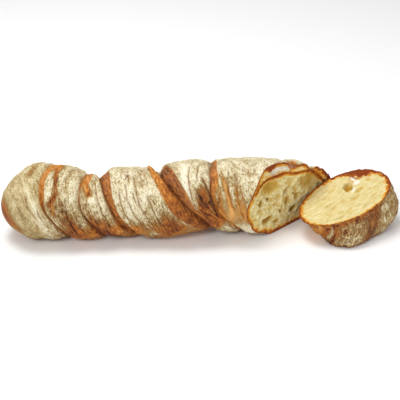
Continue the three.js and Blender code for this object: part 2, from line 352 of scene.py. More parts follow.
# By degrees round the end: tear, bake and flour of its crust.
END_DRESS = (
    (-180, 1, 0.05, 0), (-167, 0.95, 0.1, 0), (-160, 0.9, 0.42, 0), (-152, 0.7, 0.6, 0),
    (-149, 0.1, 0.35, 0.62), (-146, 0.15, 0.4, 0.55), (-143, 0.6, 0.66, 0), (-139, 0.4, 0.62, 0.15),
    (-133, 0, 0.5, 0.48), (-110, 0, 0.5, 0.5), (-98, 0.1, 0.7, 0.2), (-88, 0.1, 0.7, 0.15),
    (-80, 0, 0.5, 0.5), (-60, 0, 0.45, 0.52), (-46, 0.1, 0.55, 0.4), (-40, 0.4, 0.7, 0.1),
    (-34, 0.1, 0.5, 0.5), (0, 0, 0.3, 0.7), (30, 0.3, 0.6, 0.3), (60, 0.7, 0.8, 0),
    (100, 0.6, 0.7, 0.1), (140, 0.4, 0.5, 0.3), (165, 0.9, 0.2, 0.1), (180, 1, 0.05, 0),
)
END_DRESS_LEAN = 0.75  # degrees round for each millimetre down


# ---- lines, noise and meshes --------------------------------------------------------------------

def along(rows, t, column=1):
    """The smooth line through rows of (t, value, ...): a cubic between neighbours, whose slope at each
    row is the slope from the row before it to the row after it."""
    rows = np.asarray(rows, float)
    knots, values = rows[:, 0], rows[:, column]
    before = np.concatenate(([0], np.arange(len(knots) - 1)))
    after = np.concatenate((np.arange(1, len(knots)), [len(knots) - 1]))
    slopes = (values[after] - values[before]) / (knots[after] - knots[before])
    i = np.clip(np.searchsorted(knots, t, side="left") - 1, 0, len(knots) - 2)
    span = knots[i + 1] - knots[i]
    s = np.clip((t - knots[i]) / span, 0, 1)
    rise = s * s * (3 - 2 * s)
    return (values[i] * (1 - rise) + values[i + 1] * rise
            + span * (slopes[i] * s * (1 - s) ** 2 - slopes[i + 1] * s * s * (1 - s)))


def smooth(low, high, value):
    """0 below low and 1 above high, along 3t^2 - 2t^3 between them."""
    t = np.clip((value - low) / (high - low), 0, 1)
    return t * t * (3 - 2 * t)


def slopes_of_cells(cells, seed):
    """Three even random numbers from -1 to 1 for each corner of a unit grid, from its place there."""
    mixed = (cells[..., 0] * 374761393 + cells[..., 1] * 668265263 + cells[..., 2] * 974634777
             + seed * 144665) & 0xFFFFFFFF
    found = []
    for salt in (0x1E3779B9, 0x25EBCA6B, 0x42B2AE35):
        h = mixed ^ salt
        h = ((h ^ (h >> 15)) * 0x2C1B3C6D) & 0xFFFFFFFF
        h = ((h ^ (h >> 12)) * 0x297A2D39) & 0xFFFFFFFF
        found.append((h ^ (h >> 15)) / 2 ** 31 - 1)
    return np.stack(found, -1)


def noise(points, seed=0):
    """Smooth noise of about -1 to 1: a random slope at each corner of a unit grid, blended between
    them by 6t^5 - 15t^4 + 10t^3."""
    cell = np.floor(points).astype(np.int64)
    part = points - cell
    ease = part ** 3 * (part * (part * 6 - 15) + 10)
    total = np.zeros(points.shape[:-1])
    for corner in np.ndindex(2, 2, 2):
        c = np.array(corner)
        weight = np.prod(np.where(c, ease, 1 - ease), axis=-1)
        total += weight * np.sum(slopes_of_cells(cell + c, seed) * (part - c), axis=-1)
    return total * 1.4


def rough(points, octaves, seed=0):
    """Noise with finer noise on it, each octave twice as fine and half as strong."""
    return sum(noise(points * 2 ** k, seed + k) / 2 ** k for k in range(octaves))


def stack(*parts):
    """Points, from a number or a grid of numbers for each of their parts."""
    return np.stack(np.broadcast_arrays(*parts), -1)


def on_table(z, softness):
    """Height that eases onto the table at 0: z above it, 0 below it, and (z + s)^2 / 4s between -s
    and s."""
    return np.where(z >= softness, z, np.where(z <= -softness, 0, (z + softness) ** 2 / (4 * softness)))


def tube_mesh(name, first, rings, last, crust_rings):
    """One closed skin: a pole, rings of points (ring, column, 3) and a pole. Faces up to crust_rings
    are crust, and the edge round that ring is sharp."""
    count, columns = rings.shape[:2]
    points = np.concatenate((first[None], rings.reshape(-1, 3), last[None])) * METRES
    here = np.arange(columns)
    there = (here + 1) % columns
    base = 1 + np.arange(count - 1)[:, None] * columns
    quads = stack(base + here, base + columns + here, base + columns + there, base + there)
    start = stack(0, 1 + here, 1 + there)
    end = stack(base[-1] + columns + here, len(points) - 1, base[-1] + columns + there)
    loops = np.concatenate((start.ravel(), quads.ravel(), end.ravel()))
    sizes = np.concatenate((np.full(columns, 3), np.full(quads.size // 4, 4), np.full(columns, 3)))
    on_cut = np.arange(len(sizes)) >= columns * crust_rings
    mesh = bpy.data.meshes.new(name)
    mesh.vertices.add(len(points))
    mesh.vertices.foreach_set("co", points.ravel())
    mesh.loops.add(len(loops))
    mesh.loops.foreach_set("vertex_index", loops)
    mesh.polygons.add(len(sizes))
    mesh.polygons.foreach_set("loop_start", np.concatenate(([0], np.cumsum(sizes)[:-1])))
    mesh.polygons.foreach_set("material_index", on_cut.astype(np.int32))
    mesh.update(calc_edges=True)
    mesh.validate()
    mesh.shade_smooth()
    ends = np.empty(2 * len(mesh.edges), np.int32)
    mesh.edges.foreach_get("vertices", ends)
    on_rim = (ends > (crust_rings - 1) * columns) & (ends <= crust_rings * columns)
    sharp = mesh.attributes.new("sharp_edge", "BOOLEAN", "EDGE")
    sharp.data.foreach_set("value", on_rim.reshape(-1, 2).all(1))
    return mesh


def dress_mesh(mesh, fields):
    """Each field, one number or three for every point, becomes a named attribute."""
    for name, values in fields.items():
        kind, key = ("FLOAT_VECTOR", "vector") if values.ndim == 2 else ("FLOAT", "value")
        layer = mesh.attributes.new(name, kind, "POINT")
        layer.data.foreach_set(key, np.ascontiguousarray(values, np.float32).ravel())


def loaf_shift():
    """From the loaf's own plan to the frame: its tip is its lowest x, and its highest x and y are one
    corner, on the cut, so that corner's place along the cut gives the shift across."""
    low, high = (np.array(corner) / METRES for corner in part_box("loaf"))
    shift_x = low[0] - TIP_X
    return np.array((shift_x, high[1] - (high[0] - shift_x - CUT_X) / CUT_SLOPE, low[2]))


# ---- the crust ----------------------------------------------------------------------------------

def seam_lines(angle):
    """Both seams' crossings of a line along the loaf at this angle, in order: place, turn and how it
    is torn."""
    turn = (GRAIN_TURN - np.degrees(angle)) / 360
    part = turn - np.round(turn)
    lines = []
    for whole in SEAM_TURNS:
        lines.append((along(FIRST_SEAM, whole + part), whole + part, FIRST_TEAR))
        lines.append((along(SECOND_SEAM, whole + part), whole + part, SECOND_TEAR))
    return lines


def seam_dress(s, turn, tear):
    """Across a seam, s to its right: the torn strip is lowest at the seam and rises straight to its two
    reaches, the crease is a bell at 0, the ridge is a rounded arch left of the crease, and the lip is
    a step at the right reach that dies away. Returns height, lean along the loaf, tear, bake and arch."""
    left, right, sag, crease, ear, lip, bake_left, bake_right = (along(tear, turn, c) for c in range(1, 9))
    wide = smooth(-left - 0.9, -left + 0.9, s) * (1 - smooth(right - 0.7, right + 0.7, s))
    share = np.clip(np.where(s < 0, -s / np.maximum(left, 0.5), s / np.maximum(right, 0.5)), 0, 1)
    arch = np.clip((s + left) / np.maximum(left - EAR_GAP, 0.5), 0, 1)
    arch = (4 * arch * (1 - arch)) ** 0.55 * np.clip(ear, 0, 1)
    step = smooth(right - 0.7, right + 0.7, s) * np.exp(-np.maximum(s - right, 0) / 6)
    height = (-(sag * (1 - share) + 0.5) * wide + (ear + sag * (1 - share)) * arch + lip * step
              - crease * np.exp(-(s / CREASE_WIDTH) ** 2)
              - GROOVE_DEPTH * np.minimum(crease / 1.2, 1) * np.exp(-(s / GROOVE_WIDTH) ** 2))
    lean = 0.9 * ear * arch * smooth(0.2, 1, (s + left) / np.maximum(left, 1)) - 0.6 * lip * step
    baked = np.where(s < 0, bake_left, bake_right + 0.12 - 0.34 * share * (bake_right - 0.2))
    ragged = smooth(-left - 2, -left + 1.6, s) * (1 - smooth(right - 1.6, right + 1.6, s))
    return height, lean, ragged * smooth(0, 0.5, wide), baked, arch


def patch_weight(x, angle, patch):
    """1 in the middle of a leaning oval patch, fading as a bell."""
    place, middle, length, breadth, lean = patch[:5]
    along_x = x - place
    turned = np.radians(middle) - angle
    down = GIRTH / (2 * np.pi) * ((turned + np.pi) % (2 * np.pi) - np.pi)
    c, s = math.cos(math.radians(lean)), math.sin(math.radians(lean))
    return np.exp(-((along_x * c - down * s) / length) ** 2 - ((along_x * s + down * c) / breadth) ** 2)


def folds(x, angle):
    """How deep the thin folds are here, 0 to 1: each is a bell across its line, eased out at the line's
    two ends and, but for the first, broken here and there."""
    degrees = (np.degrees(angle) + 90) % 360 - 90
    found = np.zeros_like(x)
    for k, fold in enumerate(FOLDS):
        low, high = fold[0][0], fold[-1][0]
        s = x - along(fold, degrees) + 1.1 * noise(stack(degrees / 14, float(k), 0.0), 71)
        ends = smooth(low - 3, low + 6, degrees) * (1 - smooth(high - 6, high + 3, degrees))
        deep = FOLD_DEPTH if k else FIRST_FOLD_DEPTH
        bell = deep * np.exp(-(s / (0.68 * deep)) ** 2)
        unbroken = smooth(-1.0, -0.2, noise(stack(degrees / 9, float(k), 5.0), 73)) if k else 1
        found = np.maximum(found, bell * ends * unbroken)
    return np.minimum(found, 1)


def crossed_seams(x, angle):
    """What the seams make of the crust: height, lean, tear, bake and arch, and how far each place is
    past the last seam on its left, that seam's turn and kind, and how wide the band there is."""
    lines = seam_lines(angle)
    height, lean, tear, crest = (np.zeros_like(x) for _ in range(4))
    bake = np.full_like(x, PLAIN_BAKE)
    inset = x - lines[0][0]
    turn_here, kind = np.zeros_like(x), np.zeros_like(x)
    width = np.full_like(x, OPEN_BAND)
    for k, (place, turn, torn) in enumerate(lines):
        s = x - place
        rise, along_x, torn_here, baked, arch = seam_dress(s, turn, torn)
        height, lean = height + rise, lean + along_x
        tear = np.maximum(tear, torn_here)
        crest = np.maximum(crest, arch)
        bake = bake * (1 - torn_here) + baked * torn_here
        past = s >= 0
        following = lines[min(k + 1, len(lines) - 1)][0]
        inset = np.where(past, s, inset)
        turn_here = np.where(past, turn, turn_here)
        kind = np.where(past, k % 2, kind)
        width = np.where(past, np.maximum(following - place, 4), width)
    return height, lean, tear, bake, crest, inset, turn_here, kind, width


def loaf_crust(x, angle, wrinkle):
    """The loaf's crust at these places along it and these angles up from the front: points, fields and
    how far the torn edges lean along the loaf."""
    height, lean, tear, bake, crest, inset, turn, kind, width = crossed_seams(x, angle)
    share = np.clip(inset / width, 0, 1)
    height += BAND_SWELL * (4 * share * (1 - share) - 1)

    # Wrinkles along the strands, lumps, cracks, folds and dents.
    strand = stack(inset, turn * GIRTH, kind * SEAM_SALT)
    place = stack(x, LOAF_RADIUS * np.cos(angle), LOAF_RADIUS * np.sin(angle))
    bands = smooth(0, 3, inset) * smooth(0, 3, width - inset) * (1 - 0.7 * tear)
    ridge = 1 - 2.4 * np.abs(noise(strand / (7, 55, 30), 3) + 0.12 * noise(place / 6, 4))
    fine = noise(strand / (2.4, 16, 20), 5)
    height += wrinkle * bands * (0.8 * ridge + 0.4 * fine + 0.45 * rough(strand / (3.6, 9, 30), 2, 7))
    height += wrinkle * (0.8 * noise(place / 16, 9) + 0.3 * rough(place / 3.2, 2, 11) * (0.5 + tear))
    split = np.abs(noise(strand / (6.5, 60, 30), 17) + 0.08 * noise(place / 3, 19))
    crack = np.exp(-(split / 0.028) ** 2) * smooth(0.0, 0.35, noise(place / 18, 21) + 0.12) * bands
    fold = folds(x, angle) * (1 - 0.8 * tear)
    height -= wrinkle * (0.9 * crack + 1.3 * fold)
    crack = np.maximum(crack, fold)
    for dent in DENTS:
        height -= dent[5] * patch_weight(x, angle, dent)

    # The flour is thin low on the bands, and a patch changes both it and the baking.
    low = np.sin(angle)
    bulb = 1 - smooth(*BULB_EDGE, x)
    flour = PLAIN_FLOUR + 0.08 * (1 - bulb) + 0.14 * (ridge - 0.4) * bands * (1 - 0.6 * bulb) + 0.06 * low
    flour = flour - 0.42 * smooth(0, -0.6, low) * smooth(-140, -125, x) * (1 - smooth(10, 30, x))
    flour = flour - 0.3 * smooth(-0.7, -1, low)
    for patch in PATCHES:
        weight = patch_weight(x, angle, patch)
        flour = flour + patch[5] * weight
        bake = bake + patch[6] * weight * (1 - 0.7 * crest)
    flour = flour * (1 - 0.9 * crest)

    inward = np.clip(1 - (x - TIP_X) / DOME_LENGTH, 0, 1)
    dome = np.sqrt(1 - inward * inward)
    radius = (along(STATIONS, x, 2) + height) * dome
    z = on_table(along(STATIONS, x) + radius * np.sin(angle), LOAF_SOFTNESS)
    y = -radius * along(STATIONS, x, 3) * np.cos(angle)
    fields = dict(tear=tear, bake=bake, flour=flour, crack=crack, calm=bulb, strand=strand)
    return stack(x, y, z), fields, lean * dome


def cut_place(y, z):
    """How far along the loaf the cut is: slanted straight across, but it runs back under the front of
    the top and stands forward in the lap behind it."""
    back = smooth(44, 72, z) * smooth(-36, -6, y) * (1 - smooth(0, 7, y))
    forward = smooth(42, 60, z) * smooth(1, 9, y) * (1 - smooth(20, 36, y))
    return CUT_X + CUT_SLOPE * y - CUT_BACK * back + CUT_FORWARD * forward


def loaf_rings(size):
    """The rings of the loaf's crust, from its tip to the cut, and their fields. A line along the loaf
    ends on the cut: half the way there from where it ended is tried, again and again."""
    angle = 2 * np.pi * np.arange(size.columns) / size.columns
    ends = np.full(size.columns, CUT_X)
    for _ in range(CUT_STEPS):
        edge = loaf_crust(ends[None], angle, size.wrinkle)[0][0]
        ends = (ends + cut_place(edge[:, 1], edge[:, 2])) / 2
    share = np.hypot(np.arange(1, size.rows + 1) / size.rows, TIP_CROWDING) - TIP_CROWDING
    x = TIP_X + (share / share[-1])[:, None] * (ends - TIP_X)
    points, fields, lean = loaf_crust(x, angle, size.wrinkle)
    points[..., 0] += lean * smooth(0, 9, ends - x)
    points[-1, :, 0] = cut_place(points[-1, :, 1], points[-1, :, 2])
    return points, fields


def laid_down(local):
    """From the end's own frame, on its cut, to where it lies in the loaf's plan."""
    return local @ np.array(END_TURN.to_matrix()).T + np.array(END_PLACE)


def end_dress(degrees, drop, place):
    """How the end's crust is torn, baked and floured: its table leans round with the drop, and the
    baked rim of the cut reaches a few millimetres down."""
    leaning = degrees + END_DRESS_LEAN * (drop - 10)
    leaning = leaning + 4 * noise(place / (8, 8, 24), 65) + 3 * noise(place / (2.5, 2.5, 10), 67)
    leaning = (leaning + 180) % 360 - 180
    tear, bake, flour = (along(END_DRESS, leaning, c) for c in range(1, 4))
    baked_rim = 1 - smooth(2.5, 6.5, drop + 2 * noise(place / 5, 69))
    baked_rim = baked_rim * (1 - 0.7 * smooth(-95, -70, degrees) * (1 - smooth(-10, 10, degrees)))
    bake = bake + baked_rim * np.maximum(0.62 - bake, 0) * (1 - tear)
    return leaning, tear, bake, flour * (1 - 0.9 * baked_rim)


def end_rings(size):
    """The rings of the end's crust, from its lowest point to the cut, their fields and, on the cut, its
    rim. Each ring is an egg with squared corners."""
    angle = -2 * np.pi * np.arange(size.columns) / size.columns
    angles = np.broadcast_to(angle, (size.rows, size.columns))
    share = 1 - np.arange(1, size.rows + 1)[:, None] / size.rows
    drop, length, width, shift, squareness = (along(END_PROFILE, share, c) for c in range(1, 6))
    square_corner = (np.cos(angles) < 0) & (np.sin(angles) < 0)
    corner = 1 + squareness * np.where(square_corner, 1, OTHER_SQUARENESS) * np.sin(2 * angles) ** 2
    egg = 1 + END_BLUNTNESS * np.cos(angles)
    flat = stack(length * corner * np.cos(angles), width * corner * egg * np.sin(angles))

    degrees = (np.degrees(angles) + 180) % 360 - 180
    place = stack(END_RADIUS * np.cos(angles), END_RADIUS * np.sin(angles), drop)
    leaning, tear, bake, flour = end_dress(degrees, drop, place)
    round_it = np.radians(leaning)
    leaned = stack(END_RADIUS * np.cos(round_it), END_RADIUS * np.sin(round_it), drop / 5)

    # Wrinkles that lean with the dress, lumps and cracks, all pushed outwards.
    rim_ease = smooth(0, 2.5, drop)
    ridge = 1 - 2 * np.abs(noise(leaned / 5.5, 51))
    split = np.abs(noise(leaned / 9, 57) + 0.2 * noise(place / 4, 59))
    crack = np.exp(-(split / 0.045) ** 2) * rim_ease * smooth(0, 0.3, noise(place / 18, 61) + 0.25)
    relief = rim_ease * (
        1.1 * ridge + 0.6 * rough(leaned / 2.6, 2, 53) + 0.8 * noise(place / 15, 55)
        + 0.4 * rough(place / 2.8, 2, 63) * (0.4 + tear) - 0.9 * crack - 1.2 * tear)
    lumps = 0.7 + 1.2 * smooth(-5, 15, degrees) * (1 - smooth(60, 90, degrees))
    relief = size.wrinkle * (relief + lumps * rough(place / (5, 5, 9), 2, 75))
    reach = np.linalg.norm(flat, axis=-1, keepdims=True)
    flat = flat + flat / np.maximum(reach, 1e-6) * relief[..., None] * np.clip(reach / 20, 0, 1)

    points = laid_down(stack(flat[..., 0] + shift, flat[..., 1], -drop))
    points[..., 2] = on_table(points[..., 2], END_SOFTNESS)
    under = smooth(8, 1, points[..., 2])
    fields = dict(
        tear=tear * (1 - under), bake=bake + 0.1 * under, flour=flour * (1 - 0.5 * under), crack=crack,
        calm=np.zeros_like(bake), strand=stack(round_it * END_RADIUS, drop, 11.0))
    return points, fields, flat[-1]


# ---- the crumb ----------------------------------------------------------------------------------

def oval(a, b, hole):
    """Distance from the middle of an oval hole, as a share of its half sizes."""
    c, s = math.cos(math.radians(hole[4])), math.sin(math.radians(hole[4]))
    da, db = a - hole[0], b - hole[1]
    return np.hypot((da * c + db * s) / hole[2], (db * c - da * s) / hole[3])


def bubbles(seed, count, reach, flat, tint):
    """Small holes scattered over the cut, few of them large, stretched along it by flat."""
    random = np.random.default_rng(seed)
    size = 0.7 + 2.6 * random.random(count) ** 3.2
    spots = random.uniform(-1, 1, (count, 2)) * reach
    tilt = random.uniform(-25, 25, count)
    stretch = flat * random.uniform(0.8, 1.5, count)
    return [(a, b, r * f, r / f ** 0.5, t, 0.85 * r, tint)
            for (a, b), r, f, t in zip(spots, size, stretch, tilt)]


def crumb_relief(a, b, holes):
    """Depth of the crumb at places on the cut and its caramel colour, partly painted shade that grows
    towards each hole's deepest point: each hole is a rounded bowl, and where holes meet the deepest wins."""
    wobble = 0.24 * noise(stack(a / 3.1, b / 3.1, 0.0), 31) + 0.1 * noise(stack(a / 1.3, b / 1.3, 0.0), 33)
    depth, caramel_and_shade = np.zeros_like(a), np.zeros_like(a)
    for hole in holes:
        r = oval(a, b, hole) * (1 + wobble)
        bowl = np.sqrt(np.clip(1 - r * r, 0, 1))
        # The tint is strongest at a hole's deepest point: partly caramel, partly painted shade.
        caramel_and_shade = np.maximum(caramel_and_shade, hole[6] * smooth(0.05, 0.95, bowl))
        depth = np.maximum(depth, hole[5] * bowl)
    return depth, caramel_and_shade


def cut_rings(rim, hub, count):
    """Rings from a rim to its hub, and how far inside the rim each point is: hub + share x (rim - hub),
    with the shares close together near the rim. The rim isn't among them."""
    t = np.arange(1, count + 1) / (count + 1)
    share = 1 - (0.35 * t ** 2 + 0.65 * t)
    inset = (1 - share)[:, None] * np.linalg.norm(rim - hub, axis=1)
    return hub + share[:, None, None] * (rim - hub), inset


def ragged_rind(rows, a, b, thick_seed, char_seed, char_size, char_swing):
    """How thick and how dark the crust looks round the cut: a table by degrees, made uneven by noise."""
    around = np.degrees(np.arctan2(b, a))
    thick = along(rows, around, 1) * (1 + 0.6 * rough(stack(a / 5, b / 5, 9.0), 2, thick_seed))
    uneven = noise(stack(a / char_size, b / char_size, 3.0), char_seed)
    return thick, along(rows, around, 2) * (1 + char_swing * uneven)


def from_line(a, b, line):
    """Distance from a line through points on the cut."""
    line = np.asarray(line, float)
    found = np.full_like(a, 1e3)
    for (a0, b0), (a1, b1) in zip(line[:-1], line[1:]):
        run = np.array((a1 - a0, b1 - b0))
        t = np.clip(((a - a0) * run[0] + (b - b0) * run[1]) / run.dot(run), 0, 1)
        found = np.minimum(found, np.hypot(a - a0 - t * run[0], b - b0 - t * run[1]))
    return found


def loaf_cut(edge, size):
    """The loaf's cut inside the edge of its crust: rings and fields. It is worked out flat, and then
    takes the cut's bow."""
    run = np.array((CUT_SLOPE, 1.0, 0.0)) / math.hypot(CUT_SLOPE, 1)
    facing = np.array((1.0, -CUT_SLOPE, 0.0)) / math.hypot(CUT_SLOPE, 1)
    hub = np.array((CUT_X, 0.0, CUT_MIDDLE))
    rim = stack(CUT_X + CUT_SLOPE * edge[:, 1], edge[:, 1], edge[:, 2])
    rings, inset = cut_rings(rim, hub, size.cut_rings)
    a, b = (rings - hub) @ run, rings[..., 2] - hub[2]

    holes = LOAF_HOLES + tuple(bubbles(5, size.bubbles, LOAF_CUT_REACH, 1.1, 0.42))
    depth, caramel_and_shade = crumb_relief(a, b, holes)
    thick, char = ragged_rind(LOAF_RIND, a, b, 81, 83, 4, 0.8)
    fold = from_line(a, b, FOLD_LINE)
    pocket = oval(a, b, POCKET)
    clear = smooth(0.6, 1.5, inset / thick) * smooth(0.4, 2.4, fold) * smooth(0.9, 1.3, pocket)
    depth = depth * clear + 0.8 * rough(stack(a / 7, b / 7, 1.0), 3, 41) * smooth(0, 4, inset)
    depth += POCKET_DEPTH * np.sqrt(np.clip(1 - pocket ** 2, 0, 1)) + 1.3 * np.exp(-(fold / 1.1) ** 2)
    rings = rings - depth[..., None] * facing
    rings[..., 0] += cut_place(rings[..., 1], rings[..., 2]) - CUT_X - CUT_SLOPE * rings[..., 1]

    above = smooth(0.5, 3, b - along(FOLD_LINE, a)) * smooth(-46, -40, a)
    rind = np.minimum(inset / thick, (fold + 0.2) / 3.2)
    rind = np.minimum(rind, 1.4 - above * (0.36 - 0.4 * noise(stack(a / 4, b / 4, 7.0), 45)))
    flour_and_highlight = 1 - smooth(0.75, 1.15, pocket)
    fields = dict(
        rind=rind, char=np.where(fold < 4, 0.5, char), caramel_and_shade=caramel_and_shade * clear,
        flour_and_highlight=flour_and_highlight * smooth(-0.9, 0.1, rough(stack(a / 3, b / 2, 6.0), 2, 79)),
        calm=np.zeros_like(a), grain=stack(a / 5, b / 5, 0.0))
    return rings, fields


def end_cut(rim, size):
    """The end's cut inside its rim: rings and fields."""
    rings, inset = cut_rings(rim, np.zeros(2), size.cut_rings)
    a, b = rings[..., 0], rings[..., 1]
    holes = END_HOLES + tuple(bubbles(9, size.bubbles, END_CUT_REACH, 1.9, 0.14))
    depth, caramel_and_shade = crumb_relief(a, b, holes)
    thick, char = ragged_rind(END_RIND, a, b, 77, 85, 5, 0.7)
    clear = smooth(0.6, 1.6, inset / thick)
    crusty = (1 - smooth(0.5, 1.1, inset / thick)) * smooth(0, 1.5, inset)
    depth = depth * clear * 0.7 + 0.9 * rough(stack(a / 16, b / 6, 2.0), 3, 43) * smooth(0, 4, inset)
    depth = depth + 1.8 * crusty * rough(stack(a / 4, b / 4, 5.0), 2, 87)
    fields = dict(
        rind=inset / thick, char=char, caramel_and_shade=caramel_and_shade * clear, calm=np.ones_like(a),
        # Painted highlight: pale crumb colour by the largest hole, standing in for its lit wall.
        flour_and_highlight=0.75 * sum(1 - smooth(0.5, 1.1, oval(a, b, white)) for white in END_PAINTED_HIGHLIGHTS),
        grain=stack(a / 9, b / 3.2, 3.0))
    return laid_down(stack(a, b, -depth)), fields


# ---- materials ----------------------------------------------------------------------------------

class Nodes:
    """Adds nodes and links to one tree."""

    def __init__(self, tree):
        self.tree = tree
        self.column = 0

    def add(self, kind, inputs=(), **settings):
        node = self.tree.nodes.new(kind)
        node.location = (self.column * 190, -(self.column % 4) * 170)
        self.column += 1
        for name, value in settings.items():
            setattr(node, name, value)
        for socket, value in dict(inputs).items():
            if isinstance(value, bpy.types.NodeSocket):
                self.tree.links.new(value, node.inputs[socket])
            else:
                node.inputs[socket].default_value = value
        return node

    def math(self, operation, *values):
        return self.add("ShaderNodeMath", dict(enumerate(values)), operation=operation).outputs[0]

    def plus(self, first, *others):
        for value in others:
            first = self.math("ADD", first, value)
        return first

    def times(self, value, factor):
        return self.math("MULTIPLY", value, factor)

    def about(self, value, middle, strength):
        """How far value is from a middle, times strength."""
        return self.times(self.math("SUBTRACT", value, middle), strength)

    def less(self, whole, value, share=1.0):
        """A whole less a share of value."""
        return self.math("SUBTRACT", whole, self.times(value, share))

    def step(self, value, low, high):
        """0 to 1 as value goes from low to high, smoothly."""
        node = self.add("ShaderNodeMapRange", {"Value": value, "From Min": low, "From Max": high},
                        interpolation_type="SMOOTHSTEP")
        return node.outputs[0]

    def stretched(self, vector, factors):
        return self.add("ShaderNodeVectorMath", {0: vector, 1: factors}, operation="MULTIPLY").outputs[0]

    def noise(self, vector, scale, detail, roughness):
        node = self.add("ShaderNodeTexNoise", {"Vector": vector, "Scale": scale, "Detail": detail,
                                               "Roughness": roughness})
        return node.outputs["Fac"]

    def ramp(self, value, stops):
        node = self.add("ShaderNodeValToRGB", {"Fac": value})
        elements = node.color_ramp.elements
        elements[0].position, elements[0].color = stops[0][0], (*stops[0][1], 1)
        elements[1].position, elements[1].color = stops[-1][0], (*stops[-1][1], 1)
        for position, colour in stops[1:-1]:
            elements.new(position).color = (*colour, 1)
        return node.outputs["Color"]

    def mix(self, factor, first, second):
        node = self.add("ShaderNodeMix", data_type="RGBA")
        for name, value in (("Factor_Float", factor), ("A_Color", first), ("B_Color", second)):
            socket = next(s for s in node.inputs if s.identifier == name)
            if isinstance(value, bpy.types.NodeSocket):
                self.tree.links.new(value, socket)
            else:
                socket.default_value = value if name == "Factor_Float" else (*value, 1)
        return next(s for s in node.outputs if s.identifier == "Result_Color")

    def attribute(self, name, vector=False):
        node = self.add("ShaderNodeAttribute", attribute_name=name)
        return node.outputs["Vector" if vector else "Fac"]


def new_group(name, inputs, outputs):
    """A shader node group with its named sockets, and its nodes to fill."""
    group = bpy.data.node_groups.new(name, "ShaderNodeTree")
    for socket, kind in inputs:
        group.interface.new_socket(socket, in_out="INPUT", socket_type=kind)
    for socket, kind in outputs:
        group.interface.new_socket(socket, in_out="OUTPUT", socket_type=kind)
    nodes = Nodes(group)
    return group, nodes, nodes.add("NodeGroupInput").outputs


FLOAT, COLOUR, VECTOR = "NodeSocketFloat", "NodeSocketColor", "NodeSocketVector"

BAKED = (
    (0.0, (0.84, 0.45, 0.14)), (0.2, (0.70, 0.305, 0.06)), (0.42, (0.52, 0.178, 0.03)),
    (0.62, (0.33, 0.098, 0.02)), (0.8, (0.17, 0.048, 0.015)), (1.0, (0.06, 0.022, 0.012)),
)
FLOURED = (
    (0.28, (0.26, 0.155, 0.05)), (0.42, (0.50, 0.37, 0.155)), (0.54, (0.74, 0.63, 0.38)),
    (0.66, (0.94, 0.87, 0.67)),
)
CRUMB = ((0.3, (0.48, 0.34, 0.09)), (0.47, (0.68, 0.55, 0.235)), (0.64, (0.89, 0.81, 0.50)))
# Caramel of the hole walls, running dark as painted shade where a hole is deepest.
CARAMEL_AND_SHADE = (
    (0.0, (0.62, 0.39, 0.065)), (0.25, (0.44, 0.25, 0.035)), (0.6, (0.27, 0.12, 0.02)),
    (1.0, (0.15, 0.045, 0.012)),
)
RIND = (
    (0.0, (0.25, 0.05, 0.01)), (0.25, (0.46, 0.145, 0.016)), (0.5, (0.66, 0.30, 0.035)),
    (0.8, (0.76, 0.48, 0.10)), (1.0, (0.80, 0.62, 0.21)),
)
DUSTED = (0.27, 0.148, 0.052)  # baked dough with a breath of flour rubbed into it
# Pale colour of the flour in the loaf's floured pocket, and of the painted highlight on the end's crumb.
FLOUR_AND_HIGHLIGHT = (0.90, 0.87, 0.78)
STREAKS = (0.75, 0.13, 0.4)  # how the flour's streaks and specks are stretched along the strands
SPECKS = (0.55, 0.26, 0.4)
CRUST_BUMP = 0.0022  # height of the finest relief, in metres, as the shader takes it
CRUMB_BUMP = 0.0011
SPECULAR = 0.12


def floured_crust_group():
    """Baked dough under flour. The flour lies in streaks along the strands, broken by specks, and is off
    the tears."""
    group, n, given = new_group(
        "Floured crust",
        (("Strand", VECTOR), ("Place", VECTOR), ("Tear", FLOAT), ("Bake", FLOAT), ("Flour", FLOAT),
         ("Crack", FLOAT), ("Calm", FLOAT)),
        (("Color", COLOUR), ("Roughness", FLOAT), ("Height", FLOAT)))
    flour, crack, calm = given["Flour"], given["Crack"], given["Calm"]
    streak = n.noise(n.stretched(given["Strand"], STREAKS), 1.0, 5, 0.68)
    speck = n.noise(n.stretched(given["Strand"], SPECKS), 1.0, 4, 0.66)
    fleck = n.noise(given["Place"], 900, 3, 0.6)
    blotch = n.about(n.noise(given["Place"], 85, 3, 0.6), 0.5, n.less(0.75, calm, 0.35))

    uneven = n.plus(n.about(streak, 0.5, 1.5), n.about(speck, 0.5, 1.5))
    uneven = n.times(uneven, n.less(1.0, calm, 0.5))
    torn = n.step(n.plus(given["Tear"], uneven), 0.3, 0.75)
    patchy = n.plus(uneven, n.times(blotch, 0.9), n.about(fleck, 0.5, 1.1))
    cover = n.step(n.plus(flour, patchy), 0.1, 0.8)
    cover = n.times(n.times(cover, n.less(1.0, torn, 0.94)), n.less(1.0, crack))

    darkness = n.plus(given["Bake"], n.times(blotch, 0.5), n.about(streak, 0.5, -1.7),
                      n.about(speck, 0.5, -1.0), n.times(crack, 0.5))
    dusted = n.times(n.times(flour, 1.1), n.less(1.0, torn))
    dusted = n.times(dusted, n.less(1.0, crack, 0.85))
    baked = n.mix(dusted, n.ramp(darkness, BAKED), DUSTED)

    pale = n.plus(n.times(streak, 0.3), n.times(fleck, 0.42), n.times(speck, 0.28))
    pale = n.times(n.about(pale, 0.5, 1.5), n.less(1.0, calm, 0.4))
    pale = n.plus(pale, n.less(0.5, calm, 0.04), n.times(blotch, 0.5), n.about(flour, 0.7, 0.4))
    colour = n.mix(cover, baked, n.ramp(pale, FLOURED))

    lift = n.plus(n.times(streak, 0.7), n.times(speck, 0.7), n.times(fleck, 0.4), n.times(cover, 0.25))
    shine = n.plus(0.55, n.times(cover, 0.35))
    n.add("NodeGroupOutput", {"Color": colour, "Roughness": shine, "Height": lift})
    return group


